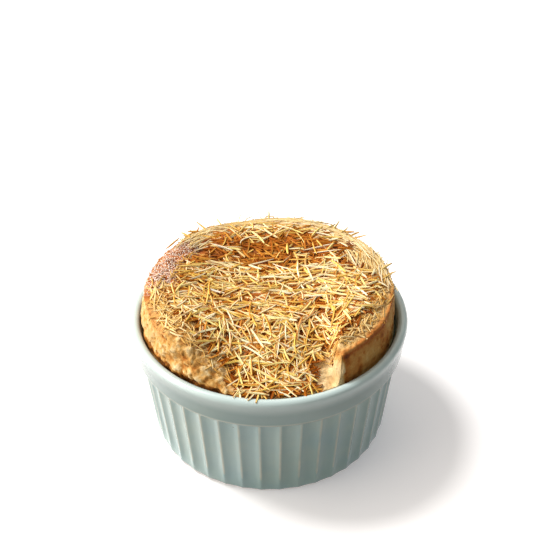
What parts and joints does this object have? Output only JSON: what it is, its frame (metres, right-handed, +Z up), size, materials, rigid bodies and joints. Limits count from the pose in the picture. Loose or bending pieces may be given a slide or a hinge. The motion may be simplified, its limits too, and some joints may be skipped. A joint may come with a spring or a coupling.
{
  "type": "souffle",
  "caption": "Baked souffle risen over the rim of its own round fluted ramekin, sunk at the front and covered with toasted shreds.",
  "frame": {"origin": "centre of the ramekin's base, on the surface that it stands on", "axes": "+Z up along the ramekin's axis, -Y towards the sunk front, +X towards the firm slab of crust"},
  "size_m": [0.1, 0.1, 0.0639],
  "materials": {
    "glaze": "pale blue-green gloss glaze, thin and warmer on the ridges, with a few dark specks",
    "baked_egg": "porous yellow crumb with a browned crust edge and a little powdered sugar",
    "toasted_shreds": "thin toasted shreds from pale cream to deep brown"
  },
  "bodies": {
    "root": {"ramekin": "glaze", "souffle": "baked_egg", "shred_topping": "toasted_shreds"}
  },
  "joints": []
}
